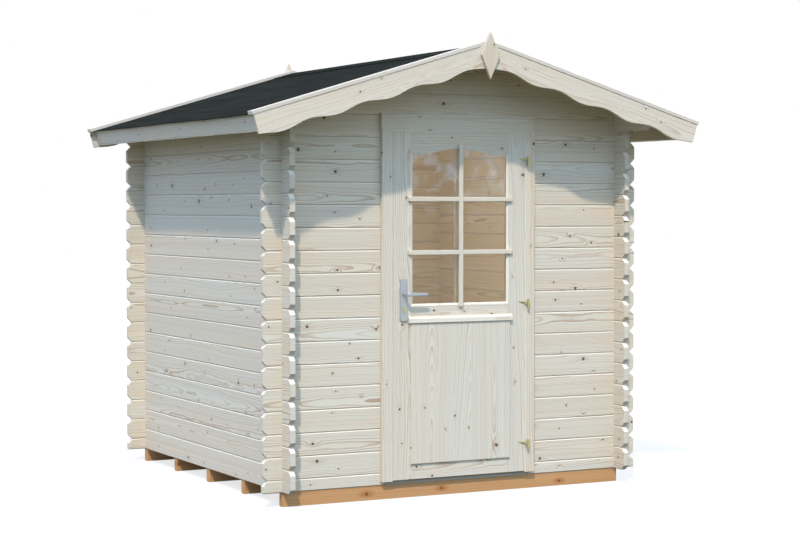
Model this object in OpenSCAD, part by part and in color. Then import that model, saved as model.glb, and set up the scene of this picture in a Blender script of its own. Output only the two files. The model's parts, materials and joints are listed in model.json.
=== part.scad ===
// Garden house: a small log cabin with a boarded gable roof and a half-glazed door.
// Origin: centre of the wall footprint on the ground. +X right, +Y to the back, +Z up.

/* [Log walls] */
// Width of the house over the outer faces of the side walls
house_w = 2000; // [1600:10:3000]
// Depth of the house over the outer faces of the front and back walls
house_d = 2000; // [1600:10:3000]
// Thickness of a wall log
log_t = 28; // [20:1:45]
// Height of a log, seam to seam
log_h = 114; // [100:1:130]
// Height of the cut first log of the front and back walls
first_log_h = 62; // [50:1:90]
// Length of the log ends beyond the walls
log_end = 102; // [70:1:150]
// Chamfer on the corners of the log ends
end_chamfer = 25; // [10:1:28]
// Bevel along the edges of a log, which makes the groove at each seam
seam_bevel = 5; // [2:0.5:7]

/* [Base and floor] */
// Number of bearers under the house
bearer_count = 5; // [3:1:7]
// Width of a bearer
bearer_w = 40; // [35:1:80]
// Height of a bearer
bearer_h = 72; // [40:0.5:100]
// Distance of the bearers' faces and ends behind the walls' outer faces
bearer_inset = 5; // [0:1:15]
// Thickness of the floorboards
floor_t = 18.5; // [16:0.5:28]
// Gap between the floor and the walls
floor_gap = 1; // [0.5:0.5:5]

/* [Roof] */
// Slope of the roof in degrees
roof_pitch = 16.5; // [12:0.5:22]
// Height of the roof boards above the front wall at the side walls
plate_rise = 38.5; // [30:0.5:60]
// Thickness of the roof boards
deck_t = 16; // [14:1:22]
// Thickness of the roofing felt
felt_t = 3; // [2:0.5:6]
// Overhang of the roof boards beyond the front wall
front_overhang = 304; // [200:1:400]
// Overhang of the roof boards beyond the side walls, level
side_overhang = 242; // [180:1:300]
// Overlap of the felt beyond the fascia
felt_lip = 3; // [1:1:10]
// Width of the ridge purlin
purlin_w = 45; // [35:1:70]
// Height of the ridge purlin
purlin_h = 95; // [70:1:130]

/* [Roof trim] */
// Thickness of the bargeboards
barge_t = 18; // [15:1:24]
// Mean width of a bargeboard
barge_w = 106.5; // [90:0.5:130]
// Height of the waves on the lower edge, each way from the mean
wave_h = 10; // [4:0.5:14]
// Length of one wave
wave_len = 300; // [200:5:400]
// Distance of the first wave crest from the ridge along the slope
wave_start = 13; // [0:1:40]
// Length of the bargeboards beyond the fascia, along the slope
barge_end = 28; // [15:1:40]
// Thickness of the fascia boards
fascia_t = 18; // [15:1:24]
// Width of the fascia boards
fascia_w = 88; // [70:1:110]
// Thickness of the verge strips on top of the bargeboards
verge_t = 18; // [14:1:24]
// Width of the verge strips
verge_w = 56; // [40:1:80]
// Overhang of a verge strip past the face of its bargeboard
verge_lip = 3; // [1:0.5:6]
// Length of the verge strips beyond the bargeboards, along the slope
verge_end = 6; // [2:1:12]
// Height of the diamond ornament
diamond_h = 238; // [180:1:280]
// Width of the diamond ornament
diamond_w = 106; // [80:1:130]
// Height of the diamond's tip above the top line of the bargeboards
diamond_rise = 60; // [30:1:80]
// Height of the diamond's widest point above its middle
diamond_shift = 3; // [0:1:20]

/* [Door frame] */
// Clear width between the jambs
door_w = 796; // [700:1:850]
// Clear height from the sill to the head
door_h = 1794; // [1700:1:1800]
// Width of a jamb's face
jamb_face = 54; // [45:1:80]
// Stand of the frame's face in front of the wall
frame_proud = 25; // [15:1:35]
// Depth of the groove that takes the log ends
groove_d = 20; // [12:1:25]
// Clearance of the logs in the groove, each side
groove_gap = 0.5; // [0.3:0.1:2]
// Least height of the head below the seam that it covers
head_min = 40; // [20:1:60]
// Height of the head above the seam that it covers
head_lap = 13.5; // [8:0.5:20]
// Length of the head past each jamb
head_ear = 4; // [0.5:0.5:8]
// Depth of the door stop behind the leaf, front to back
stop_d = 20; // [15:1:30]
// Width of the door stop into the opening
stop_w = 12; // [8:1:16]

/* [Door leaf] */
// Thickness of the leaf's frame
leaf_t = 40; // [35:1:45]
// Stand of the leaf's face in front of the wall
leaf_proud = 25; // [0:1:28]
// Gap between the leaf and the frame at the hinges, the head and the stop
leaf_gap = 5; // [5:0.5:8]
// Least gap between the leaf and the lock's jamb as the leaf swings
swing_gap = 5; // [5:0.5:8]
// Gap between the leaf and the sill
sill_gap = 6; // [5:0.5:12]
// Width of the stiles
stile_w = 102; // [96:1:120]
// Width of the top rail beside the arch
top_rail_w = 107.5; // [90:0.5:140]
// Height of the glazed opening's lower edge above the sill
pane_z = 895; // [850:1:980]
// Rise of the arch over the glazed opening
arch_rise = 36; // [20:1:50]
// Width of the flat shoulders beside the arch
arch_shoulder = 20; // [10:1:60]
// Thickness of the glass
glass_t = 4; // [3:1:6]
// Width of the glazing beads
bead_w = 12; // [8:1:16]
// Width of the flat edge of a glazing bead beside its bevel
bead_flat = 1; // [0.5:0.5:4]
// Depth of the glass behind the leaf's face
bead_d = 6; // [4:1:15]
// Width of a glazing bar
bar_w = 24; // [18:1:36]
// Thickness of a glazing bar
bar_t = 13; // [8:1:18]
// Overlap of the level glazing bars and the drip moulding onto the stiles
bar_lap = 17; // [10:1:18]
// Overlap of the upright glazing bar onto the rails
upright_lap = 8; // [5:1:20]
// Number of level glazing bars
bar_rows = 2; // [1:1:3]
// Width of the lock rail below the glazed opening
lock_rail_w = 92; // [80:1:120]
// Width of the bottom rail
bottom_rail_w = 84; // [70:1:140]
// Overlap of the panel's face onto the stiles and rails
panel_lap = 5; // [3:1:12]
// Stand of the panel's face in front of the stiles
panel_proud = 10; // [5:1:14]
// Thickness of the panel within the leaf
panel_t = 20; // [12:1:25]
// Height of the drip moulding
drip_h = 33; // [24:1:40]
// Height of the slope on top of the drip moulding
drip_slope = 12; // [6:1:18]
// Depth of the drip moulding
drip_d = 18; // [15:1:30]
// Depth of the drip moulding's flat top
drip_flat = 6; // [3:1:12]
// Gap between the drip moulding and the panel's face
drip_gap = 1; // [0.5:0.5:4]

/* [Hinges] */
// Radius of a hinge barrel
barrel_r = 6.5; // [5:0.5:8]
// Height of one half of a hinge barrel
barrel_half = 25; // [18:1:32]
// Radius of the hinge pin
pin_r = 3.5; // [2.5:0.5:4]
// Running clearance of the hinge pin
pin_gap = 0.05; // [0.02:0.01:0.1]
// Clearance between the two halves of a barrel
barrel_gap = 0.5; // [0.3:0.1:1]
// Radius of the rods that screw into the leaf and the jamb
rod_r = 3.5; // [2.5:0.5:4.5]
// Distance of the hinge axis from the jamb's inner edge
hinge_x = 7; // [4:0.5:12]
// Distance of the hinge axis in front of the frame's face
axis_off = 15; // [13:0.5:20]
// Distance of the outer hinges from the top and bottom of the leaf
hinge_inset = 145; // [100:1:200]
// Distance of the middle hinge below the midpoint
hinge_drop = 4; // [0:1:40]
// Distance of the rods from the middle of the barrel
rod_rise = 10; // [5:1:18]
// Distance of the leaf's rods from the hinge axis, where they meet the leaf
rod_reach = 44; // [20:1:50]
// Distance of the pin's end below the top of the barrel
pin_short = 4; // [3.5:0.5:8]

/* [Handle] */
// Distance of the handle's axis from the lock edge of the leaf
backset = 59; // [45:0.5:75]
// Height of the lever's axis above the bottom of the leaf
lever_z = 952; // [900:1:1000]
// Length of the lever
lever_l = 113; // [90:1:130]
// Height of the lever at its root
lever_root = 20; // [15:1:24]
// Height of the lever at its tip
lever_tip = 13; // [10:1:18]
// Thickness of the lever
lever_t = 11; // [8:1:16]
// Gap between the lever and its plate
lever_stand = 36; // [30:1:50]
// Radius of the lever's neck
neck_r = 9; // [7:0.5:11]
// Running clearance of the neck in its plate
neck_gap = 0.1; // [0.05:0.01:0.3]
// Side of the square spindle
spindle = 8; // [7:1:9]
// Radius of the bore for the spindle
spindle_bore_r = 10; // [8:0.5:12]
// Width of a handle plate
plate_w = 40; // [30:1:44]
// Height of a handle plate
plate_h = 216; // [180:1:240]
// Thickness of a handle plate
plate_t = 8; // [4:1:10]
// Height of the plate's middle below the lever's axis
plate_drop = 30; // [20:1:45]
// Distance of the lock cylinder below the lever's axis
cylinder_drop = 72; // [60:1:90]
// Radius of the lock cylinder
cylinder_r = 8.5; // [7:0.5:10]
// Width of the lock cylinder's web
cylinder_web = 10; // [8:1:12]
// Height of the web's end below the middle of the lock cylinder
cylinder_foot = 24; // [20:1:26]
// Stand of the lock cylinder in front of its plates
cylinder_proud = 3; // [1:0.5:5]
// Clearance round the lock cylinder
cylinder_gap = 0.3; // [0.2:0.1:0.6]

/* [Hidden] */
$fn = 48;
// Larger than the house, for cutting planes
big = house_w + house_d + 3000;

// Wall faces and log seams
wall_x = house_w / 2;
wall_y = house_d / 2;
room_x = wall_x - log_t;
room_y = wall_y - log_t;
base_z = bearer_h;
sill_top = base_z + floor_t;
head_low = sill_top + door_h;
quarter = log_h / 4;
log_courses = ceil((head_low + head_min - base_z - first_log_h) / log_h);
front_seams = [for (k = [0 : log_courses]) base_z + first_log_h + k * log_h];
side_seams = [for (k = [0 : log_courses - 1]) front_seams[k] + log_h / 2];
wall_top = front_seams[log_courses];
side_top = side_seams[log_courses - 1];

// Roof: the ridge point lies on the top face of the felt
deck_low = deck_t + felt_t;
eave_z = wall_top + plate_rise;
under_z = eave_z + wall_x * tan(roof_pitch);
ridge_z = under_z + deck_low / cos(roof_pitch);
roof_front = -wall_y - front_overhang;
roof_back = wall_y + log_end;
deck_s = (wall_x + side_overhang) / cos(roof_pitch) - felt_t * tan(roof_pitch);
fascia_s = deck_s + fascia_t;
barge_s = fascia_s + barge_end;
verge_s = barge_s + verge_end;
ridge_lap = 60;

// Door frame
jamb_in = door_w / 2;
jamb_out = jamb_in + jamb_face;
groove_in = jamb_out - groove_d;
frame_front = -wall_y - frame_proud;
head_top = wall_top + head_lap;

// Hinge axis
axis_x = jamb_in + hinge_x;
axis_y = frame_front - axis_off;

// Door leaf: its inner lock corner swings past the jamb with the least gap, to a tenth
leaf_front = -wall_y - leaf_proud;
leaf_back = leaf_front + leaf_t;
swing_r = axis_x + jamb_in - swing_gap;
leaf_left = ceil(10 * (axis_x - sqrt(pow(swing_r, 2) - pow(leaf_back - axis_y, 2)))) / 10;
leaf_right = jamb_in - leaf_gap;
leaf_low = sill_top + sill_gap;
leaf_top = head_low - leaf_gap;
stop_front = leaf_back + leaf_gap;
frame_back = stop_front + stop_d;

// Openings in the leaf: x counts from the middle of the leaf, where the sub-parts are drawn
leaf_mid = (leaf_left + leaf_right) / 2;
leaf_half = (leaf_right - leaf_left) / 2;
pane_x = leaf_half - stile_w;
pane_low = sill_top + pane_z;
pane_side = leaf_top - top_rail_w;
pane_top = pane_side + arch_rise;
pane_mid = (pane_low + pane_side) / 2;
arch_half = pane_x - arch_shoulder;
arch_steps = 24;
rail_low = pane_low - lock_rail_w;
bottom_rail_top = leaf_low + bottom_rail_w;
glass_y = leaf_front + bead_d;
bar_x = pane_x + bar_lap;

// Hinges and handle
hinge_low = leaf_low + hinge_inset;
hinge_high = leaf_top - hinge_inset;
hinge_zs = [hinge_low, (hinge_low + hinge_high) / 2 - hinge_drop, hinge_high];
handle_x = leaf_left + backset;
handle_z = leaf_low + lever_z;
cylinder_z = handle_z - cylinder_drop;

spruce = "#D8D0BF";
door_wood = "#D9D3C6";
pine = "#C08A5A";
felt_grey = "#30363A";
zinc = "#B9B57A";
silver = "#B4B9C4";

// ---------------------------------------------------------------- logs

// Section of a stack of logs: thickness in x, height in y, a bevel at each seam
function log_section(low, high, seams, low_bevel, high_bevel) = concat(
    low_bevel ? [[seam_bevel, low], [0, low + seam_bevel]] : [[0, low]],
    [for (s = seams) each [[0, s - seam_bevel], [seam_bevel, s], [0, s + seam_bevel]]],
    high_bevel ? [[0, high - seam_bevel], [seam_bevel, high]] : [[0, high]],
    high_bevel ? [[log_t - seam_bevel, high], [log_t, high - seam_bevel]] : [[log_t, high]],
    [for (i = [len(seams) - 1 : -1 : 0]) each [[log_t, seams[i] + seam_bevel],
        [log_t - seam_bevel, seams[i]], [log_t, seams[i] - seam_bevel]]],
    low_bevel ? [[log_t, low + seam_bevel], [log_t - seam_bevel, low]] : [[log_t, low]]);

// Edge of a stack of log ends, going up at x with the wall on the side d
function chamfered_end(x, d, low, high, seams, low_chamfer) = concat(
    low_chamfer ? [[x + d * end_chamfer, low], [x, low + end_chamfer]] : [[x, low]],
    [for (s = seams) each [[x, s - end_chamfer], [x + d * end_chamfer, s], [x, s + end_chamfer]]],
    [[x, high - end_chamfer], [x + d * end_chamfer, high]]);

function reversed(list) = [for (i = [len(list) - 1 : -1 : 0]) list[i]];

// Seams strictly between two heights
function seams_between(seams, low, high) = [for (s = seams) if (s > low + 1 && s < high - 1) s];

// Stack of logs along x, from x0 to x1, with its outer face at y0
module logs_along_x(x0, x1, y0, section) {
    translate([x0, y0, 0])
        rotate([90, 0, 90])
            linear_extrude(x1 - x0) polygon(section);
}

// Upright sheet with an outline in x and z, from y0 to y1
module sheet_xz(y0, y1, outline) {
    translate([0, y1, 0])
        rotate([90, 0, 0])
            linear_extrude(y1 - y0) polygon(outline);
}

// Upright sheet with an outline in y and z, from x0 to x1
module sheet_yz(x0, x1, outline) {
    translate([x0, 0, 0])
        rotate([90, 0, 90])
            linear_extrude(x1 - x0) polygon(outline);
}

module box(low, high) {
    translate(low) cube(high - low);
}

// Notches where the side walls' logs pass through a front or back wall
module side_log_notches(x0, y0) {
    for (s = front_seams)
        box([x0, y0 - 1, s - quarter], [x0 + log_t, y0 + log_t + 1, s + quarter]);
}

// Notches where the front or back wall's logs pass through a side wall
module front_log_notches(x0, y0) {
    box([x0 - 1, y0, base_z - 1], [x0 + log_t + 1, y0 + log_t, front_seams[0] - quarter]);
    for (s = side_seams)
        box([x0 - 1, y0, s - quarter], [x0 + log_t + 1, y0 + log_t, s + quarter]);
}

// Wall across the house with log ends on the left, the right or both
module cross_wall(x0, x1, y0, left_end, right_end) {
    inner_seams = seams_between(front_seams, base_z, wall_top);
    left_edge = left_end ? chamfered_end(x0, 1, base_z, wall_top, inner_seams, false)
                         : [[x0, base_z], [x0, wall_top]];
    right_edge = right_end ? chamfered_end(x1, -1, base_z, wall_top, inner_seams, false)
                           : [[x1, base_z], [x1, wall_top]];
    difference() {
        intersection() {
            logs_along_x(x0, x1, y0, log_section(base_z, wall_top, inner_seams, true, true));
            sheet_xz(y0 - 1, y0 + log_t + 1, concat(left_edge, reversed(right_edge)));
        }
        if (left_end) side_log_notches(-wall_x, y0);
        if (right_end) side_log_notches(room_x, y0);
    }
}

// Side wall up to the seam below its top log
module side_wall(x0) {
    inner_seams = seams_between(side_seams, base_z, side_top);
    front_edge = chamfered_end(-wall_y - log_end, 1, base_z, side_top, inner_seams, true);
    back_edge = chamfered_end(wall_y + log_end, -1, base_z, side_top, inner_seams, true);
    difference() {
        intersection() {
            translate([x0, wall_y + log_end, 0])
                rotate([90, 0, 0])
                    linear_extrude(house_d + 2 * log_end)
                        polygon(log_section(base_z, side_top, inner_seams, true, true));
            sheet_yz(x0 - 1, x0 + log_t + 1, concat(front_edge, reversed(back_edge)));
        }
        front_log_notches(x0, -wall_y);
        front_log_notches(x0, room_y);
    }
}

// Height of the roof boards' underside at x
function under_at(x) = under_z - abs(x) * tan(roof_pitch);

// Top log of the right side wall, which runs out to both bargeboards under the roof boards
module top_log_right() {
    section = [
        [room_x + seam_bevel, side_top], [room_x, side_top + seam_bevel],
        [room_x, under_at(room_x)], [wall_x, under_at(wall_x)],
        [wall_x, side_top + seam_bevel], [wall_x - seam_bevel, side_top]];
    outline = [
        [roof_front + end_chamfer, side_top], [roof_front, side_top + end_chamfer],
        [roof_front, under_z], [roof_back, under_z],
        [roof_back, side_top + end_chamfer], [roof_back - end_chamfer, side_top]];
    difference() {
        intersection() {
            sheet_xz(roof_front, roof_back, section);
            sheet_yz(room_x - 1, wall_x + 1, outline);
        }
        front_log_notches(room_x, -wall_y);
        front_log_notches(room_x, room_y);
    }
}

// Gable between the top logs of the side walls, notched for the ridge purlin
module gable(y0) {
    gable_logs = ceil((under_z - wall_top) / log_h);
    gable_seams = [for (k = [1 : gable_logs]) wall_top + k * log_h];
    seams = seams_between(gable_seams, wall_top, under_z - purlin_h);
    difference() {
        intersection() {
            logs_along_x(-room_x, room_x, y0, log_section(wall_top, under_z, seams, true, false));
            sheet_xz(y0 - 1, y0 + log_t + 1, [
                [-room_x, wall_top], [-room_x, under_at(room_x)], [0, under_z],
                [room_x, under_at(room_x)], [room_x, wall_top]]);
        }
        box([-purlin_w / 2, y0 - 1, under_z - purlin_h], [purlin_w / 2, y0 + log_t + 1, under_z + 1]);
    }
}

module front_wall_left() color(spruce)
    cross_wall(-wall_x - log_end, -groove_in, -wall_y, true, false);

module front_wall_right() color(spruce)
    cross_wall(groove_in, wall_x + log_end, -wall_y, false, true);

module back_wall() color(spruce)
    cross_wall(-wall_x - log_end, wall_x + log_end, room_y, true, true);

module left_wall() color(spruce) side_wall(-wall_x);

module right_wall() color(spruce) side_wall(room_x);

module left_top_log() color(spruce) mirror([1, 0, 0]) top_log_right();

module right_top_log() color(spruce) top_log_right();

module front_gable() color(spruce) gable(-wall_y);

module back_gable() color(spruce) gable(room_y);

// ---------------------------------------------------------------- base

module bearers() color(pine) {
    end_x = wall_x - bearer_inset;
    step = (house_d - 2 * bearer_inset - bearer_w) / (bearer_count - 1);
    for (i = [0 : bearer_count - 1])
        translate([-end_x, -wall_y + bearer_inset + i * step, 0])
            cube([2 * end_x, bearer_w, bearer_h]);
}

module floor_boards() color(spruce) {
    edge_x = room_x - floor_gap;
    edge_y = room_y - floor_gap;
    difference() {
        box([-edge_x, -edge_y, base_z], [edge_x, edge_y, sill_top]);
        box([-groove_in, -edge_y - 1, base_z - 1], [groove_in, frame_back, sill_top + 1]);
    }
}

// ---------------------------------------------------------------- roof

// Puts a piece on the right slope: x down the slope from the ridge, z outwards from the felt's face
module right_slope() {
    intersection() {
        translate([0, 0, ridge_z]) rotate([0, roof_pitch, 0]) children();
        box([0, -big, 0], [big, big, big]);
    }
}

module left_slope() {
    mirror([1, 0, 0]) right_slope() children();
}

module deck() {
    box([-ridge_lap, roof_front, -deck_low], [deck_s, roof_back, -felt_t]);
}

module felt() {
    box([-ridge_lap, roof_front, -felt_t], [fascia_s + felt_lip, roof_back, 0]);
}

module fascia() {
    box([deck_s, roof_front, -felt_t - fascia_w], [fascia_s, roof_back, -felt_t]);
}

// Width of the bargeboard at a distance s from the ridge: a row of even waves
function barge_depth(s) = barge_w + wave_h * cos(360 * (s - wave_start) / wave_len);

module bargeboard(y0) {
    steps = round(barge_s / wave_len * 20);
    lower_edge = [for (i = [0 : steps]) let (s = barge_s * i / steps) [s, -barge_depth(s)]];
    sheet_xz(y0, y0 + barge_t, concat([[barge_s, 0], [-ridge_lap, 0], [-ridge_lap, -barge_depth(0)]],
        lower_edge));
}

module verge_strip(y0) {
    box([-ridge_lap, y0, 0], [verge_s, y0 + verge_w, verge_t]);
}

// The front strip's lip stops at the diamond
module front_verge_strip() {
    difference() {
        verge_strip(roof_front - barge_t - verge_lip);
        box([-ridge_lap - 1, roof_front - barge_t - verge_lip - 1, -1],
            [diamond_w / 2, roof_front - barge_t, verge_t + 1]);
    }
}

module back_verge_strip() {
    difference() {
        verge_strip(roof_back + barge_t + verge_lip - verge_w);
        box([-ridge_lap - 1, roof_back + barge_t, -1],
            [diamond_w / 2, roof_back + barge_t + verge_lip + 1, verge_t + 1]);
    }
}

module diamond(y0) {
    tip_z = ridge_z + diamond_rise;
    middle_z = tip_z - diamond_h / 2 + diamond_shift;
    sheet_xz(y0, y0 + barge_t, [[0, tip_z], [diamond_w / 2, middle_z],
        [0, tip_z - diamond_h], [-diamond_w / 2, middle_z]]);
}

module ridge_purlin() color(spruce)
    sheet_xz(roof_front, roof_back, [
        [-purlin_w / 2, under_z - purlin_h], [-purlin_w / 2, under_at(purlin_w / 2)], [0, under_z],
        [purlin_w / 2, under_at(purlin_w / 2)], [purlin_w / 2, under_z - purlin_h]]);

module roof_boards_left() color(spruce) left_slope() deck();

module roof_boards_right() color(spruce) right_slope() deck();

module felt_left() color(felt_grey) left_slope() felt();

module felt_right() color(felt_grey) right_slope() felt();

module fascia_left() color(spruce) left_slope() fascia();

module fascia_right() color(spruce) right_slope() fascia();

module front_bargeboard_left() color(spruce) left_slope() bargeboard(roof_front - barge_t);

module front_bargeboard_right() color(spruce) right_slope() bargeboard(roof_front - barge_t);

module back_bargeboard_left() color(spruce) left_slope() bargeboard(roof_back);

module back_bargeboard_right() color(spruce) right_slope() bargeboard(roof_back);

module front_verge_left() color(spruce) left_slope() front_verge_strip();

module front_verge_right() color(spruce) right_slope() front_verge_strip();

module back_verge_left() color(spruce) left_slope() back_verge_strip();

module back_verge_right() color(spruce) right_slope() back_verge_strip();

module front_diamond() color(spruce) diamond(roof_front - 2 * barge_t);

module back_diamond() color(spruce) diamond(roof_back + barge_t);

// ---------------------------------------------------------------- door frame

// Groove that clasps the wall's logs, between two points in x and z
module log_groove(x0, z0, x1, z1) {
    box([x0, -wall_y - groove_gap, z0], [x1, -room_y + groove_gap, z1]);
}

module right_jamb() {
    difference() {
        union() {
            box([jamb_in, frame_front, sill_top], [jamb_out, frame_back, head_low]);
            box([jamb_in - stop_w, stop_front, sill_top], [jamb_in + 1, frame_back, head_low]);
        }
        log_groove(groove_in - groove_gap, sill_top - 1, jamb_out + 1, head_low + 1);
    }
}

module door_jamb_left() color(door_wood) mirror([1, 0, 0]) right_jamb();

module door_jamb_right() color(door_wood) right_jamb();

module door_head() color(door_wood) {
    head_x = jamb_out + head_ear;
    difference() {
        box([-head_x, frame_front, head_low], [head_x, frame_back, head_top]);
        log_groove(-head_x - 1, wall_top - groove_gap, head_x + 1, head_top + 1);
        log_groove(groove_in - groove_gap, head_low - 1, head_x + 1, head_top);
        log_groove(-head_x - 1, head_low - 1, -groove_in + groove_gap, head_top);
    }
    box([stop_w - jamb_in, stop_front, head_low - stop_w],
        [jamb_in - stop_w, frame_back, head_low + 1]);
}

module door_sill() color(door_wood)
    box([-groove_in + groove_gap, -wall_y, base_z], [groove_in - groove_gap, frame_back, sill_top]);

// ---------------------------------------------------------------- door leaf

// Height of the glazed opening's top edge at x: a raised cosine between flat shoulders
function arch_at(x) = pane_side
    + (abs(x) < arch_half ? arch_rise * (1 + cos(180 * x / arch_half)) / 2 : 0);

arch_edge = concat([[-pane_x, pane_side]],
    [for (i = [0 : arch_steps]) let (x = arch_half * (2 * i / arch_steps - 1)) [x, arch_at(x)]],
    [[pane_x, pane_side]]);
pane_outline = concat(arch_edge, [[pane_x, pane_low], [-pane_x, pane_low]]);

// Moves a piece to the middle of the leaf
module on_leaf() {
    translate([leaf_mid, 0, 0]) children();
}

module stile_left() color(door_wood) difference() {
    on_leaf() box([-leaf_half, leaf_front, leaf_low], [-pane_x, leaf_back, leaf_top]);
    translate([handle_x, leaf_front - 1, handle_z])
        rotate([-90, 0, 0]) cylinder(r = spindle_bore_r, h = leaf_t + 2);
    lock_cylinder_body(leaf_front - 1, leaf_back + 1, cylinder_gap);
}

module stile_right() color(door_wood)
    on_leaf() box([pane_x, leaf_front, leaf_low], [leaf_half, leaf_back, leaf_top]);

module top_rail() color(door_wood)
    on_leaf() sheet_xz(leaf_front, leaf_back,
        concat(arch_edge, [[pane_x, leaf_top], [-pane_x, leaf_top]]));

module lock_rail() color(door_wood)
    on_leaf() box([-pane_x, leaf_front, rail_low], [pane_x, leaf_back, pane_low]);

module bottom_rail() color(door_wood)
    on_leaf() box([-pane_x, leaf_front, leaf_low], [pane_x, leaf_back, bottom_rail_top]);

module door_panel() color(door_wood) on_leaf() {
    box([-pane_x, leaf_front, bottom_rail_top], [pane_x, leaf_front + panel_t, rail_low]);
    box([-pane_x - panel_lap, leaf_front - panel_proud, bottom_rail_top - panel_lap],
        [pane_x + panel_lap, leaf_front, rail_low + panel_lap]);
}

module door_glass() color("#BFD3CF", 0.4)
    on_leaf() sheet_xz(glass_y, glass_y + glass_t, pane_outline);

// Outline of the glazed opening, drawn in all round by d
function pane_inset(d) = [for (p = pane_outline)
    [p[0] * (1 - d / pane_x), (p[1] - pane_mid) * (1 - d / (pane_side - pane_mid))]];

// Bead round the glass, from the leaf's face at y = 0 inwards, with a bevel over its whole depth
module glazing_bead(depth) {
    bevel_x = (pane_x - bead_w) / (pane_x - bead_flat);
    bevel_z = (pane_side - pane_mid - bead_w) / (pane_side - pane_mid - bead_flat);
    difference() {
        sheet_xz(0, depth, pane_outline);
        translate([0, 0, pane_mid])
            rotate([90, 0, 0])
                mirror([0, 0, 1])
                    linear_extrude(depth, scale = [bevel_x, bevel_z]) polygon(pane_inset(bead_flat));
    }
}

module glazing_beads() color(door_wood) on_leaf() {
    translate([0, leaf_front, 0]) glazing_bead(bead_d);
    translate([0, leaf_back, 0]) mirror([0, 1, 0]) glazing_bead(leaf_t - bead_d - glass_t);
}

// Upright and level glazing bars, planted on one face of the leaf
module bar_cross(y0) {
    box([-bar_w / 2, y0, pane_low - upright_lap], [bar_w / 2, y0 + bar_t, pane_top + upright_lap]);
    for (i = [1 : bar_rows]) {
        row_z = pane_low + i * (pane_top - pane_low) / (bar_rows + 1);
        box([-bar_x, y0, row_z - bar_w / 2], [bar_x, y0 + bar_t, row_z + bar_w / 2]);
    }
}

module outer_bars() color(door_wood) on_leaf() bar_cross(leaf_front - bar_t);

module inner_bars() color(door_wood) on_leaf() bar_cross(leaf_back);

// Moulding below the glazed opening, sloped on top to shed water
module drip_moulding() color(door_wood) {
    drip_low = rail_low + panel_lap + drip_gap;
    drip_top = drip_low + drip_h;
    on_leaf() sheet_yz(-bar_x, bar_x, [
        [leaf_front, drip_low], [leaf_front - drip_d, drip_low],
        [leaf_front - drip_d, drip_top - drip_slope], [leaf_front - drip_flat, drip_top],
        [leaf_front, drip_top]]);
}

// ---------------------------------------------------------------- hinges

// Lower half with its pin, held in the jamb
module frame_hinge(z) {
    translate([axis_x, axis_y, z - barrel_half])
        cylinder(r = barrel_r, h = barrel_half - barrel_gap / 2);
    translate([axis_x, axis_y, z - barrel_half])
        cylinder(r = pin_r, h = 2 * barrel_half - pin_short);
    translate([axis_x, axis_y, z - rod_rise])
        rotate([-90, 0, 0]) cylinder(r = rod_r, h = axis_off);
}

// Upper half on the leaf, with a rod that slants into the leaf's face
module leaf_hinge(z) {
    rod_turn = atan2(rod_reach, leaf_front - axis_y);
    rod_l = (leaf_front - axis_y + rod_r) / cos(rod_turn);
    difference() {
        union() {
            translate([axis_x, axis_y, z + barrel_gap / 2])
                cylinder(r = barrel_r, h = barrel_half - barrel_gap / 2);
            intersection() {
                translate([axis_x, axis_y, z + rod_rise])
                    rotate([-90, 0, rod_turn]) cylinder(r = rod_r, h = rod_l);
                box([leaf_left, axis_y - barrel_r, z], [axis_x, leaf_front, z + barrel_half]);
            }
        }
        translate([axis_x, axis_y, z])
            cylinder(r = pin_r + pin_gap, h = barrel_half - pin_short + 1);
    }
}

module frame_hinges() color(zinc) for (z = hinge_zs) frame_hinge(z);

module door_hinges() color(zinc) for (z = hinge_zs) leaf_hinge(z);

// ---------------------------------------------------------------- handle

// Lock cylinder with its web below, from y0 to y1
module lock_cylinder_body(y0, y1, gap) {
    translate([handle_x, y0, cylinder_z])
        rotate([-90, 0, 0]) cylinder(r = cylinder_r + gap, h = y1 - y0);
    box([handle_x - cylinder_web / 2 - gap, y0, cylinder_z - cylinder_foot - gap],
        [handle_x + cylinder_web / 2 + gap, y1, cylinder_z]);
}

// Plate on one face of the leaf, with rounded corners
module handle_plate(y0) {
    corner_r = plate_w / 4;
    plate_z = handle_z - plate_drop;
    half_w = plate_w / 2 - corner_r;
    half_h = plate_h / 2 - corner_r;
    difference() {
        translate([handle_x, y0 + plate_t, plate_z])
            rotate([90, 0, 0]) linear_extrude(plate_t) {
                square([plate_w, 2 * half_h], center = true);
                square([2 * half_w, plate_h], center = true);
                for (x = [-half_w, half_w], z = [-half_h, half_h])
                    translate([x, z]) circle(r = corner_r);
            }
        translate([handle_x, y0 - 1, handle_z])
            rotate([-90, 0, 0]) cylinder(r = neck_r + neck_gap, h = plate_t + 2);
        lock_cylinder_body(y0 - 1, y0 + plate_t + 1, cylinder_gap);
    }
}

module handle_plates() color(silver) {
    handle_plate(leaf_front - plate_t);
    handle_plate(leaf_back);
}

module lock_cylinder() color("#C8B060")
    lock_cylinder_body(leaf_front - plate_t - cylinder_proud, leaf_back + plate_t + cylinder_proud, 0);

// Lever and neck on the outer face; y counts outwards from the leaf's face
module lever() {
    lever_y = plate_t + lever_stand;
    translate([handle_x, 0, handle_z]) {
        rotate([90, 0, 0]) cylinder(r = neck_r, h = lever_y);
        rotate([90, 0, 0]) translate([0, 0, lever_y]) linear_extrude(lever_t) {
            circle(r = lever_root / 2);
            polygon([[0, lever_root / 2], [lever_l - lever_tip / 2, lever_tip / 2],
                [lever_l - lever_tip / 2, -lever_tip / 2], [0, -lever_root / 2]]);
            translate([lever_l - lever_tip / 2, 0]) circle(r = lever_tip / 2);
        }
    }
}

module door_handle() color(silver) {
    translate([0, leaf_front, 0]) lever();
    translate([0, leaf_back, 0]) mirror([0, 1, 0]) lever();
    translate([handle_x - spindle / 2, leaf_front - 1, handle_z - spindle / 2])
        cube([spindle, leaf_t + 2, spindle]);
}

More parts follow.
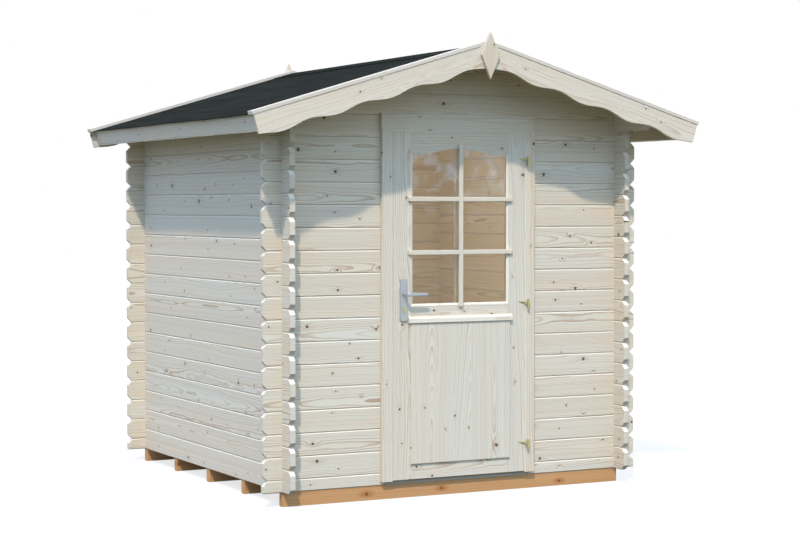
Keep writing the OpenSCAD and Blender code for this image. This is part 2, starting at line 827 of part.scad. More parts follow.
bearers();
floor_boards();
left_wall();
right_wall();
left_top_log();
right_top_log();
back_wall();
back_gable();
front_wall_left();
front_wall_right();
front_gable();
ridge_purlin();
roof_boards_left();
roof_boards_right();
felt_left();
felt_right();
fascia_left();
fascia_right();
front_bargeboard_left();
front_bargeboard_right();
back_bargeboard_left();
back_bargeboard_right();
front_verge_left();
front_verge_right();
back_verge_left();
back_verge_right();
front_diamond();
back_diamond();
door_jamb_left();
door_jamb_right();
door_head();
door_sill();
frame_hinges();
stile_left();
stile_right();
top_rail();
lock_rail();
bottom_rail();
door_panel();
door_glass();
glazing_beads();
outer_bars();
inner_bars();
drip_moulding();
door_hinges();
handle_plates();
lock_cylinder();
door_handle();
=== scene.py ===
"""Log garden house: the boards, roofing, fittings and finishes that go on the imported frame."""
import json
import math

import bmesh
import bpy
import numpy as np
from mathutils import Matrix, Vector


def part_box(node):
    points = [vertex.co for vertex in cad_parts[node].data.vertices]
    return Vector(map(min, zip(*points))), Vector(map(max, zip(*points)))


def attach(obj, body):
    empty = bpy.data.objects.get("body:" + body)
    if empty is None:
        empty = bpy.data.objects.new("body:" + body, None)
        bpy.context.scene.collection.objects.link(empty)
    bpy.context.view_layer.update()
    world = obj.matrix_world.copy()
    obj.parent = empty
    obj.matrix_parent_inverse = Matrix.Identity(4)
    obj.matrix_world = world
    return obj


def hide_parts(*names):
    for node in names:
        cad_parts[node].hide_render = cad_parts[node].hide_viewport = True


bl_info = {
    "name": "Log garden house",
    "version": (1, 0, 0),
    "blender": (4, 5, 0),
    "location": "View3D > Sidebar > Garden house",
    "description": "Boards, roofing felt, fittings and finishes of a small log garden house",
    "category": "Object",
}

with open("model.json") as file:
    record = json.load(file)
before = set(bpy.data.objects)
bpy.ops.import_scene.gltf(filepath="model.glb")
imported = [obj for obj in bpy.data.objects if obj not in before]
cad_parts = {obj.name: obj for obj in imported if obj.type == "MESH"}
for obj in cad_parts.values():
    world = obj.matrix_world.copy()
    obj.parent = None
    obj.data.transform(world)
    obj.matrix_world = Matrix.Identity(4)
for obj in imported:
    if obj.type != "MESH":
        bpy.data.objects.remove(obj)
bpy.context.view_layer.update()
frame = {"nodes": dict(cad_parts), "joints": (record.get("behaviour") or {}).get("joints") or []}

# Sizes of the frame, in metres
LOG_H, LOG_T = 0.114, 0.028
BEARER_W, BEARER_COUNT = 0.04, 5
DECK_T, FELT_T = 0.016, 0.003
LEAF_GAP = 0.005
BAR_W, BAR_ROWS = 0.024, 2
PLATE_T = 0.008
PITCH = math.radians(16.5)
WALL_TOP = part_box("back_wall")[1][2]
SIDE_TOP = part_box("left_wall")[1][2]
# Distance of the walls' middles from the centre of the house
WALL_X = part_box("right_wall")[0][0] + LOG_T / 2
WALL_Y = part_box("back_wall")[0][1] + LOG_T / 2
SILL_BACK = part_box("door_sill")[1][1]
GROOVE_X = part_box("front_wall_right")[0][0]
ROOF_FRONT, ROOF_BACK = (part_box("felt_right")[i][1] for i in (0, 1))
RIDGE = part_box("felt_right")[1][2]
# Reach of the roof boards and of the felt down the slope, from the ridge
DECK_S = (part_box("roof_boards_right")[1][0] + FELT_T * math.sin(PITCH)) / math.cos(PITCH)
FELT_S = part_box("felt_right")[1][0] / math.cos(PITCH)
LEAF_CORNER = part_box("stile_right")[1]
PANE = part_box("door_glass")

# Half the gap between two boards, which keeps their faces apart
BOARD_GAP = 0.0003
# Steps between two boards: in number, and for each 1 of number in metres along the grain and in years
NUMBER_STEP = 1.37
BOARD_STEP = 3.71
YEAR_STEP = 57.3
# Whole logs from the top of a wall down to the place where its logs are counted from
LOGS_DOWN = 30

X, Y, Z = np.eye(3)
TOP = np.array([0, 0, RIDGE])
SIDES = (-1, "left"), (1, "right")
ENDS = "front", "back"


def linear(code):
    """Turns a hex colour into the linear colour that the shaders take."""
    parts = [int(code[i:i + 2], 16) / 255 for i in (1, 3, 5)]
    return tuple(c / 12.92 if c <= 0.04045 else ((c + 0.055) / 1.055) ** 2.4 for c in parts) + (1.0,)


def shade(colour, factor):
    """A linear colour made darker or paler by a factor."""
    return tuple(factor * part for part in colour[:3]) + (1.0,)


def length_property(name, description, default):
    return bpy.props.FloatProperty(name=name, description=description, default=default,
                                   min=0, unit="LENGTH", precision=4)


def colour_property(name, description, code):
    return bpy.props.FloatVectorProperty(name=name, description=description, default=linear(code),
                                         size=4, min=0, max=1, subtype="COLOR")


class HouseSizes(bpy.types.PropertyGroup):
    """Sizes that are finer than the frame's."""
    arris: length_property("Arris", "Rounding of the planed boards' edges", 0.002)
    joinery_arris: length_property("Joinery arris", "Rounding of the door's and its frame's edges", 0.0012)
    draught_strip: length_property("Draught strip", "Thickness of the strip round the leaf", 0.0044)
    sawn_arris: length_property("Sawn arris", "Rounding of the bearers' edges", 0.0015)
    floor_board: length_property("Floorboard", "Width of a floorboard", 0.097)
    roof_board: length_property("Roof board", "Width of a roof board", 0.0925)
    board_joint: length_property("Joint", "Width of the V-joint between two boards", 0.004)
    felt_nose: length_property("Felt nosing", "Stand of the felt past the fascia", 0.013)
    ridge_felt: length_property("Ridge felt", "Reach of the ridge strip down each slope", 0.14)
    bar_round: length_property("Bar rounding", "Rounding of the glazing bars", 0.003)
    plate_round: length_property("Plate rounding", "Rounding of the handle plates", 0.0025)
    metal_arris: length_property("Metal arris", "Rounding of the hinges' and cylinder's edges", 0.0008)


class HouseColours(bpy.types.PropertyGroup):
    """Colours of the finishes."""
    spruce: colour_property("Spruce", "Early wood of the planed spruce", "#D5D5CB")
    spruce_warm: colour_property("Warm spruce", "Early wood of the warmer boards", "#D9D0BF")
    latewood: colour_property("Latewood", "Darker line that ends each ring", "#A78D72")
    end_grain: colour_property("End grain", "Cut ends of the logs and boards", "#CFCABD")
    # Fresh wood also serves as the painted highlight on the logs' upper chamfers
    fresh: colour_property("Fresh wood", "Upper chamfers, beads and draught strips", "#ECEAE2")
    # The room tone is painted shade: darker and warmer, for the room's dim warm light
    room: colour_property("Room", "Tone of the logs on the room side", "#CEBFA4")
    knot: colour_property("Knot", "Rim of the paler knots", "#69574A")
    dead_knot: colour_property("Dead knot", "Dark knots, and the hearts of the others", "#2B231F")
    pine: colour_property("Bearer", "Treated pine of the bearers", "#C99F71")
    pine_late: colour_property("Bearer latewood", "Rings of the bearers", "#A26C3E")
    felt: colour_property("Felt", "Mineral surface of the roofing felt", "#111616")
    zinc: colour_property("Zinc", "Yellow passivated zinc", "#B2B07C")
    silver: colour_property("Silver", "Satin anodised aluminium", "#ADB4BA")
    brass: colour_property("Brass", "Lock cylinder", "#BEC284")
    glass: colour_property("Glass", "Float glass", "#F1F6FA")


# ---- nodes and materials

def node(tree, kind, inputs=(), **settings):
    """Adds a node of a kind, a name that its operation may follow, with its settings. Its inputs, in
    order or by name or number, take values, nodes or sockets."""
    kind, *operation = kind.split()
    made = tree.nodes.new("ShaderNode" + kind)
    if operation:
        made.operation = operation[0]
    for name, value in settings.items():
        setattr(made, name, value)
    for key, value in inputs.items() if isinstance(inputs, dict) else enumerate(inputs):
        if isinstance(key, int):
            socket = made.inputs[key]
        else:
            socket = next(s for s in made.inputs if s.enabled and s.name == key)
        if isinstance(value, bpy.types.Node):
            value = next(s for s in value.outputs if s.enabled)
        if isinstance(value, bpy.types.NodeSocket):
            tree.links.new(value, socket)
        else:
            socket.default_value = value
    return made


def shading(owner):
    """Empties the node tree of a material or a world, and gives the function that adds nodes to it."""
    owner.use_nodes = True
    tree = owner.node_tree
    tree.nodes.clear()
    return lambda *args, **settings: node(tree, *args, **settings)


def new_material(name):
    """A material without nodes, and the function that adds them."""
    material = bpy.data.materials.new(name)
    return material, shading(material)


def stretched(add, place, scale, detail, **inputs):
    """Noise with a scale of its own on each axis, in waves a metre."""
    place = add("VectorMath MULTIPLY", [place, scale])
    return add("TexNoise", {"Vector": place, "Scale": 1.0, "Detail": detail, **inputs})


def wood(name, pale, warm, late, end_grain, knot, dead_knot, ring=0.007, contrast=0.5, wobble=0.008,
         knot_gap=0.22, knot_share=0.6, knot_reach=0.048, knot_r=(0.004, 0.012), roughness=0.6,
         lean=0.012, tint=0.0, halo_tone=0.15, order=None, start=0.0, pitch=1.0, middle=0.0, number=0,
         room=None, fresh=None):
    """Solid wood. The rings are shells round a pith that lies beside the board and wanders along it,
    so a face shows lines where it cuts them steeply and long loops where it grazes them. Each shell
    darkens slowly and ends at once, as early wood and latewood do. Knots stand along each board at
    random and push the rings aside. The place in a board comes from the piece's attributes, or, where
    order names them, from the object's axes along, across and through the boards, which are a pitch
    wide, are counted from start and from number, and lie middle from the centre of the house. The last
    two arguments are the tones of the logs' room side, a painted shade that stands in for the room's
    dim warm light, and of their upper chamfers, a painted highlight; with them the lower chamfers get
    painted shade."""
    material, add = new_material(name)
    smooth = {"interpolation_type": "SMOOTHSTEP"}
    if order:
        axes = ["XYZ".index(axis) for axis in order]
        coordinates = add("TexCoord")
        parts = add("SeparateXYZ", [coordinates.outputs["Object"]])
        along, across, through = (parts.outputs[axis] for axis in axes)
        row = add("Math SUBTRACT", [across, start])
        row = add("Math DIVIDE", [row, pitch])
        index = add("Math FLOOR", [row])
        board = add("Math ADD", [index, number])
        part = add("Math FRACT", [row])
        part = add("Math ADD", [part, -0.5])
        across = add("Math MULTIPLY", [part, pitch])
        through = add("Math ABSOLUTE", [through])
        through = add("Math ADD", [through, -middle])
        normal = add("SeparateXYZ", [coordinates.outputs["Normal"]])
        cut = add("Math ABSOLUTE", [normal.outputs[axes[0]]])
        cut = add("MapRange", [cut, 0.3, 0.9])
        tilt = normal.outputs[axes[1]]
    else:
        place = add("Attribute", attribute_name="grain")
        parts = add("SeparateXYZ", [place.outputs["Vector"]])
        along, across, through = parts.outputs
        board, cut = (add("Attribute", attribute_name=key).outputs["Fac"] for key in ("board", "cut"))

    dice = add("TexWhiteNoise", {"W": board}, noise_dimensions="1D")
    dice = add("SeparateColor", [dice.outputs["Color"]])
    shift = add("Math MULTIPLY_ADD", [board, BOARD_STEP, along])
    spot = add("CombineXYZ", [shift, across, through])

    # Knots: the nearest one along the board, at a random height in it. Most are small, and their rims
    # are ragged by noise of 9 mm. The rings bend round them in an oval, 2.5 times as long as it is high
    cell = add("Math DIVIDE", [shift, knot_gap])
    cells = add("TexVoronoi", {"W": cell, "Scale": 1.0}, voronoi_dimensions="1D")
    chance = add("SeparateColor", [cells.outputs["Color"]])
    off = add("Math SUBTRACT", [cell, cells.outputs["W"]])
    off = add("Math MULTIPLY", [off, knot_gap])
    height = add("MapRange", [chance.outputs[0], 0, 1, -knot_reach, knot_reach])
    rise = add("Math SUBTRACT", [across, height])
    offset = add("CombineXYZ", [off, rise])
    size = add("Math POWER", [chance.outputs[1], 5.0])
    size = add("MapRange", [size, 0, 1, *knot_r])
    away = add("VectorMath LENGTH", [offset])
    away = add("Math DIVIDE", [away, size])
    ragged = add("TexNoise", {"Vector": spot, "Scale": 110.0, "Detail": 1.0})
    away = add("Math MULTIPLY_ADD", [ragged, 1.0, away])
    away = add("Math ADD", [away, -0.5])
    there = add("Math LESS_THAN", [chance.outputs[2], knot_share])
    core = add("MapRange", [away, 1.3, 0.5, 0.0, there], **smooth)
    near = add("VectorMath MULTIPLY", [offset, (0.4, 1.0, 1.0)])
    near = add("VectorMath LENGTH", [near])
    near = add("Math DIVIDE", [near, size])
    halo = add("MapRange", [near, 3.2, 0.6, 0.0, there], **smooth)

    # Rings: distance from the pith, which lies up to 90 mm from the middle, leans, and wanders by
    # 15 mm in 0.8 m. Waves 0.17 m long make the lines uneven
    slow = stretched(add, spot, (1.3, 4.0, 4.0), 1.0)
    sway = add("VectorMath SUBTRACT", [slow.outputs["Color"], (0.5, 0.5, 0.5)])
    sway = add("VectorMath MULTIPLY", [sway, (0.0, 0.03, 0.03)])
    pith_y = add("MapRange", [dice.outputs[0], 0, 1, -0.09, 0.09])
    pith_z = add("MapRange", [dice.outputs[1], 0, 1, 0.02, 0.09])
    lean = add("MapRange", [dice.outputs[2], 0, 1, -lean, lean])
    pith_z = add("Math MULTIPLY_ADD", [along, lean, pith_z])
    pith = add("CombineXYZ", {1: pith_y, 2: pith_z})
    from_pith = add("CombineXYZ", {1: across, 2: through})
    from_pith = add("VectorMath SUBTRACT", [from_pith, pith])
    from_pith = add("VectorMath ADD", [from_pith, sway])
    radius = add("VectorMath LENGTH", [from_pith])
    quick = stretched(add, spot, (6.0, 14.0, 14.0), 2.0)
    radius = add("Math MULTIPLY_ADD", [quick, wobble, radius])
    phase = add("Math DIVIDE", [radius, ring])
    phase = add("Math MULTIPLY_ADD", [halo, 1.3, phase])
    shell = add("Math FLOOR", [phase])
    turn = add("Math FRACT", [phase])
    darkening = add("MapRange", [turn, 0.3, 0.9], **smooth)
    ending = add("MapRange", [turn, 1.0, 0.92], **smooth)
    line = add("Math MULTIPLY", [darkening, ending])
    line = add("Math POWER", [line, 2.2])
    year = add("Math MULTIPLY_ADD", [board, YEAR_STEP, shell])
    year = add("TexWhiteNoise", {"W": year}, noise_dimensions="1D")
    year = add("MapRange", [year, 0, 1, 0.25, 1.0])
    line = add("Math MULTIPLY", [line, year])

    # Fibres, finer in real wood: drawn 1.5 mm apart and 50 mm long, so that they show
    fibre = stretched(add, spot, (20.0, 650.0, 650.0), 2.0)
    fleck = add("MapRange", [fibre, 0.3, 0.7, -0.06, 0.08])
    dark = add("Math MULTIPLY", [line, contrast])
    dark = add("Math ADD", [dark, fleck])
    dark = add("Math MULTIPLY_ADD", [halo, halo_tone, dark], use_clamp=True)

    # Each board has its own warmth, with bands along the grain, 45 mm wide and 0.6 m long
    band = stretched(add, spot, (1.6, 22.0, 22.0), 1.0)
    band = add("MapRange", [band, 0.35, 0.75, -0.1, 0.5])
    warmth = add("Math MULTIPLY_ADD", [dice.outputs[2], 0.5, band])
    warmth = add("Math ADD", [warmth, tint], use_clamp=True)
    ended = add("Math MULTIPLY", [cut, 0.3])
    colour = pale
    for factor, layer in ((warmth, warm), (dark, late), (ended, end_grain)):
        colour = add("Mix", {"Factor": factor, "A": colour, "B": layer}, data_type="RGBA")
    if room:
        # The room side is painted darker and warmer, as painted shade and the room's dim warm light, and
        # its V-groove chamfers get painted shade too. Outside, the upper chamfers get a painted highlight
        # and the lower ones painted shade
        upper_painted_light = add("MapRange", [tilt, 0.3, 0.6, 0.0, 0.6])
        lower_painted_shade = add("MapRange", [tilt, -0.3, -0.6, 0.0, 0.25])
        chamfer = add("Math ADD", [upper_painted_light, lower_painted_shade])
        reach = add("VectorMath ABSOLUTE", [coordinates.outputs["Object"]])
        reach = add("SeparateXYZ", [reach])
        inside = [add("Math LESS_THAN", [reach.outputs[k], wall]) for k, wall in enumerate((WALL_X, WALL_Y))]
        inside = add("Math MULTIPLY", inside)
        toned = add("Mix", {"Factor": 1.0, "A": colour, "B": room}, data_type="RGBA", blend_type="MULTIPLY")
        toned = add("Mix", {"Factor": chamfer, "A": toned, "B": shade(room, 0.55)}, data_type="RGBA")
        for factor, layer in ((upper_painted_light, fresh), (lower_painted_shade, shade(late, 0.5)), (inside, toned)):
            colour = add("Mix", {"Factor": factor, "A": colour, "B": layer}, data_type="RGBA")
    # The smaller four knots of five are dark all over, the others only at the heart
    whole = add("Math LESS_THAN", [chance.outputs[1], 0.8])
    heart = add("MapRange", [away, 0.8, 0.1, 0.0, 0.55])
    centre = add("Math MAXIMUM", [whole, heart])
    centre = add("Mix", {"Factor": centre, "A": knot, "B": dead_knot}, data_type="RGBA")
    colour = add("Mix", {"Factor": core, "A": colour, "B": centre}, data_type="RGBA")
    relief = add("Math MULTIPLY_ADD", [fibre, 0.5, line])
    bump = add("Bump", {"Strength": 0.35, "Distance": 0.0004, "Height": relief})
    shader = add("BsdfPrincipled", {"Base Color": colour, "Roughness": roughness, "Normal": bump,
                                    "Specular IOR Level": 0.35})
    add("OutputMaterial", [shader])
    return material


def spruce(name, **changes):
    """Planed spruce in the colours of the add-on's settings, which changes may overrule."""
    c = bpy.context.scene.house_colours
    colours = {"pale": c.spruce, "warm": c.spruce_warm, "late": c.latewood, "end_grain": c.end_grain,
               "knot": c.knot, "dead_knot": c.dead_knot}
    return wood(name, **{**{key: tuple(value) for key, value in colours.items()}, **changes})


def clear_spruce(name, **changes):
    """Planed spruce without knots, with fine, faint rings."""
    return spruce(name, **{"ring": 0.006, "contrast": 0.4, "knot_share": 0.0, **changes})


def metal(name, colour, roughness, mark, mottle, metallic=1.0):
    """Metal whose colour drifts by mottle in clouds of 17 mm, with fine marks of the given size in
    metres. metallic under 1 leaves the share of a matt coat."""
    material, add = new_material(name)
    place = add("TexCoord").outputs["Object"]
    marks = add("TexNoise", {"Vector": place, "Scale": 1 / mark, "Detail": 3.0})
    cloud = add("TexNoise", {"Vector": place, "Scale": 60.0, "Detail": 2.0})
    share = add("MapRange", [cloud, 0.3, 0.7, 0.0, mottle])
    tone = add("Mix", {"Factor": share, "A": colour, "B": shade(colour, 0.8)}, data_type="RGBA")
    rough = add("MapRange", [marks, 0, 1, roughness - 0.08, roughness + 0.08])
    bump = add("Bump", {"Strength": 0.2, "Distance": 0.0001, "Height": marks})
    shader = add("BsdfPrincipled", {"Base Color": tone, "Metallic": metallic, "Roughness": rough,
                                    "Normal": bump})
    add("OutputMaterial", [shader])
    return material


def seen(add):
    """A node that is 1 for what the camera sees, directly, mirrored or through glass, and 0 for light."""
    path = add("LightPath")
    share = path.outputs["Is Camera Ray"]
    for kind in ("Is Glossy Ray", "Is Transmission Ray"):
        share = add("Math MAXIMUM", [share, path.outputs[kind]])
    return share


# ---- pieces

def linked(name, data):
    """A new object in the scene."""
    made = bpy.data.objects.new(name, data)
    bpy.context.scene.collection.objects.link(made)
    return made


def dress(material, *names):
    """Gives CAD nodes their finish."""
    for name in names:
        slots = frame["nodes"][name].material_slots
        for slot in slots:
            slot.material = material
        if not slots:
            frame["nodes"][name].data.materials.append(material)


def read(items, key, width=1, kind=np.int32):
    """One property of all of a mesh's items, as an array."""
    values = np.empty(width * len(items), dtype=kind)
    items.foreach_get(key, values)
    return values


def put(name, corners, faces, material, body, replaced, slot, ease=0.0, segments=2, smooth=False,
        grain=None, board=None):
    """Makes a piece of corners and faces with its normals outwards. grain holds each corner's place in
    its own board: along the grain, across the face and through it. Faces square to the grain are cut
    ends."""
    mesh = bpy.data.meshes.new(name)
    mesh.from_pydata(corners, [], faces)
    work = bmesh.new()
    work.from_mesh(mesh)
    bmesh.ops.recalc_face_normals(work, faces=work.faces)
    work.to_mesh(mesh)
    work.free()
    if grain is not None:
        mesh.attributes.new("grain", "FLOAT_VECTOR", "POINT").data.foreach_set("vector", grain.ravel())
        mesh.attributes.new("board", "FLOAT", "POINT").data.foreach_set("value", board)
        starts = read(mesh.polygons, "loop_start")
        places = grain[read(mesh.loops, "vertex_index")]
        spread = np.maximum.reduceat(places, starts) - np.minimum.reduceat(places, starts)
        cut = (spread[:, 0] < 0.3 * spread[:, 1]).astype(np.float32)
        mesh.attributes.new("cut", "FLOAT", "FACE").data.foreach_set("value", cut)
    if smooth:
        mesh.shade_smooth()
        mesh.set_sharp_from_angle(angle=math.radians(35))
    mesh.materials.append(material)
    piece = linked(name, mesh)
    if ease:
        bevel = piece.modifiers.new("arris", "BEVEL")
        bevel.width = ease
        bevel.segments = segments
        bevel.limit_method = "ANGLE"
        bevel.angle_limit = math.radians(30)
    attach(piece, body)
    if replaced:
        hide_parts(*replaced)
    return piece


def merged(name):
    """Corners and faces of a copy of a CAD node, with its triangles merged into flat faces."""
    work = bmesh.new()
    work.from_mesh(frame["nodes"][name].data)
    bmesh.ops.remove_doubles(work, verts=work.verts, dist=1e-5)
    bmesh.ops.dissolve_limit(work, angle_limit=math.radians(0.5), verts=work.verts, edges=work.edges)
    mesh = bpy.data.meshes.new("merged")
    work.to_mesh(mesh)
    work.free()
    corners = read(mesh.vertices, "co", 3, float).reshape(-1, 3)
    faces = [tuple(p.vertices) for p in mesh.polygons]
    bpy.data.meshes.remove(mesh)
    return corners, faces


def place_in_board(corners, along, across, number):
    """Each corner's place in its board: its distances from the board's middle on the board's own axes,
    and the board's number."""
    axes = np.array([along, across, np.cross(along, across)])
    middle = (corners.min(axis=0) + corners.max(axis=0)) / 2
    return (corners - middle) @ axes.T, np.full(len(corners), float(number))


def copied(name, cad, material, board=None, body="house", slot="board_spruce", ease="arris", **more):
    """A merged copy of a CAD node with its edges eased by one of the add-on's sizes, and the finish on
    both. board holds the directions along and across a board's grain, and its number."""
    dress(material, cad)
    corners, faces = merged(cad)
    if board:
        more["grain"], more["board"] = place_in_board(corners, *board)
    put(name, corners, faces, material, body, (cad,), slot,
        getattr(bpy.context.scene.house_sizes, ease), **more)


def rectangle(a, b, low, high):
    """The corners of a rectangle from a to b and from low to high."""
    return [(a, low), (b, low), (b, high), (a, high)]


def prism(outline, low, high, a, b, c, origin=(0, 0, 0)):
    """An outline in the plane of a and b, carried straight along c from low to high."""
    flat = np.asarray(outline) @ np.array([a, b]) + origin
    corners = np.vstack([flat + low * c, flat + high * c])
    n = len(outline)
    i = np.arange(n)
    j = (i + 1) % n
    sides = np.stack([i, j, j + n, i + n], axis=1).tolist()
    return corners, sides + [list(range(n - 1, -1, -1)), list(range(n, 2 * n))]


def joined(parts):
    """Several sets of corners and faces as one."""
    offsets = np.cumsum([0] + [len(corners) for corners, _ in parts])
    faces = [[k + offset for k in face] for (_, part), offset in zip(parts, offsets) for face in part]
    return np.vstack([corners for corners, _ in parts]), faces


def boards(name, parts, along, across, number, material, body, replaced, slot, ease):
    """Several boards as one piece, each with its own grain and number."""
    places, numbers = zip(*(place_in_board(corners, along, across, number + NUMBER_STEP * k)
                            for k, (corners, _) in enumerate(parts)))
    put(name, *joined(parts), material, body, replaced, slot, ease, grain=np.vstack(places),
        board=np.concatenate(numbers))


def grid_faces(rows, columns, wrap=False):
    """Four-sided faces between neighbouring points of a grid of rows and columns. wrap joins the last
    column to the first."""
    i, j = np.meshgrid(np.arange(rows - 1), np.arange(columns if wrap else columns - 1), indexing="ij")
    k = (j + 1) % columns
    near, far = i * columns, (i + 1) * columns
    return np.stack([near + j, near + k, far + k, far + j], axis=-1).reshape(-1, 4).tolist()


def slope(side):
    """Axes of a roof slope, side 1 on the right and -1 on the left: down the slope, and out of it."""
    return (np.array([side * math.cos(PITCH), 0, -math.sin(PITCH)]),
            np.array([side * math.sin(PITCH), 0, math.cos(PITCH)]))


# ---- operators

class LogWalls(bpy.types.Operator):
    """Finishes the log walls, gables and ridge purlin as planed spruce, one ring pattern a log"""
    bl_idname = "garden_house.log_walls"
    bl_label = "Log walls"

    def execute(self, context):
        c = context.scene.house_colours
        # Planed spruce logs: pale, nearly white, with straight lines or long loops and small knots
        for name, number, order, top, *nodes in (
                ("front_left", 100, "XZY", WALL_TOP, "front_wall_left"),
                ("front_right", 200, "XZY", WALL_TOP, "front_wall_right"),
                ("front_gable", 300, "XZY", WALL_TOP, "front_gable"),
                ("back", 400, "XZY", WALL_TOP, "back_wall", "back_gable"),
                ("left", 500, "YZX", SIDE_TOP, "left_wall", "left_top_log"),
                ("right", 600, "YZX", SIDE_TOP, "right_wall", "right_top_log"),
                ("purlin", 700, "YZX", RIDGE, "ridge_purlin")):
            # Each log gets painted shade and warm light on its room side, and a painted highlight and
            # painted shade on its upper and lower chamfers
            logs = spruce("planed_spruce_logs_" + name, ring=0.0055, contrast=0.85, knot_share=0.55,
                          room=tuple(c.room), fresh=tuple(c.fresh), order=order,
                          start=top - LOGS_DOWN * LOG_H, pitch=LOG_H, number=number,
                          middle=0.0 if name == "purlin" else WALL_X)
            dress(logs, *nodes)
        return {"FINISHED"}


class Bearers(bpy.types.Operator):
    """Adds the bearers of treated pine with their sawn edges eased"""
    bl_idname = "garden_house.bearers"
    bl_label = "Bearers"

    def execute(self, context):
        c = context.scene.house_colours
        # Pressure-treated pine, brown: orange and warm, with a coarse grain and red knots
        pine = wood("treated_pine", tuple(c.pine), linear("#B98A5C"), tuple(c.pine_late), linear("#C4935F"),
                    linear("#8F4426"), linear("#7A3A20"), ring=0.009, contrast=0.6, knot_gap=0.42,
                    knot_share=0.8, knot_reach=0.015, knot_r=(0.007, 0.014), roughness=0.75,
                    halo_tone=0.7, tint=-0.1)
        dress(pine, "bearers")
        lo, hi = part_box("bearers")
        parts = [prism(rectangle(lo[0], hi[0], lo[2], hi[2]), y, y + BEARER_W, X, Z, Y)
                 for y in np.linspace(lo[1], hi[1] - BEARER_W, BEARER_COUNT)]
        boards("bearer_beams", parts, X, Z, 20, pine, "house", ("bearers",), "treated_pine",
               context.scene.house_sizes.sawn_arris)
        return {"FINISHED"}


class Floorboards(bpy.types.Operator):
    """Lays the floorboards from front to back, cut round the door sill"""
    bl_idname = "garden_house.floorboards"
    bl_label = "Floorboards"

    def execute(self, context):
        sizes = context.scene.house_sizes
        # Planed spruce floorboards: wider, fainter rings than the logs'
        plank = spruce("planed_spruce_floorboards", contrast=0.55)
        dress(plank, "floor_boards")
        lo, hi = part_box("floor_boards")
        edges = np.linspace(lo[0], hi[0], round((hi[0] - lo[0]) / sizes.floor_board) + 1)
        parts = []
        for a, b in zip(edges[:-1] + BOARD_GAP, edges[1:] - BOARD_GAP):
            # The front end steps back where the board meets the sill, between the walls' grooves
            turns = [a, *(x for x in (-GROOVE_X, GROOVE_X) if a < x < b), b]
            front = [(x, SILL_BACK if abs(x0 + x1) < 2 * GROOVE_X else lo[1])
                     for x0, x1 in zip(turns, turns[1:]) for x in (x0, x1)]
            parts.append(prism(front + [(b, hi[1]), (a, hi[1])], lo[2], hi[2], X, Y, Z))
        boards("floorboards", parts, Y, X, 40, plank, "house", ("floor_boards",), "board_spruce",
               sizes.board_joint / 2)
        return {"FINISHED"}


class RoofBoards(bpy.types.Operator):
    """Lays the V-jointed roof boards down both slopes"""
    bl_idname = "garden_house.roof_boards"
    bl_label = "Roof boards"

    def execute(self, context):
        sizes = context.scene.house_sizes
        # Planed spruce roof boards: narrow, with V-joints that show from below. They are paler and yellower
        # than the walls, partly as painted light: the warm bounce that the soffit gets from the sunlit
        # ground
        plank = spruce("planed_spruce_roof_boards", pale=linear("#F0DDBE"), warm=linear("#E6C49A"))
        edges = np.linspace(ROOF_FRONT, ROOF_BACK, round((ROOF_BACK - ROOF_FRONT) / sizes.roof_board) + 1)
        under, over = -FELT_T - DECK_T, -FELT_T
        profile = [(-under * math.tan(PITCH), under), (DECK_S, under), (DECK_S, over),
                   (-over * math.tan(PITCH), over)]
        for side, name in SIDES:
            down, out = slope(side)
            parts = [prism(profile, a + BOARD_GAP, b - BOARD_GAP, down, out, Y, TOP)
                     for a, b in zip(edges[:-1], edges[1:])]
            dress(plank, "roof_boards_" + name)
            boards("roof_planks_" + name, parts, down, Y, 80 + 60 * side, plank, "house",
                   ("roof_boards_" + name,), "board_spruce", sizes.board_joint / 2)
        return {"FINISHED"}


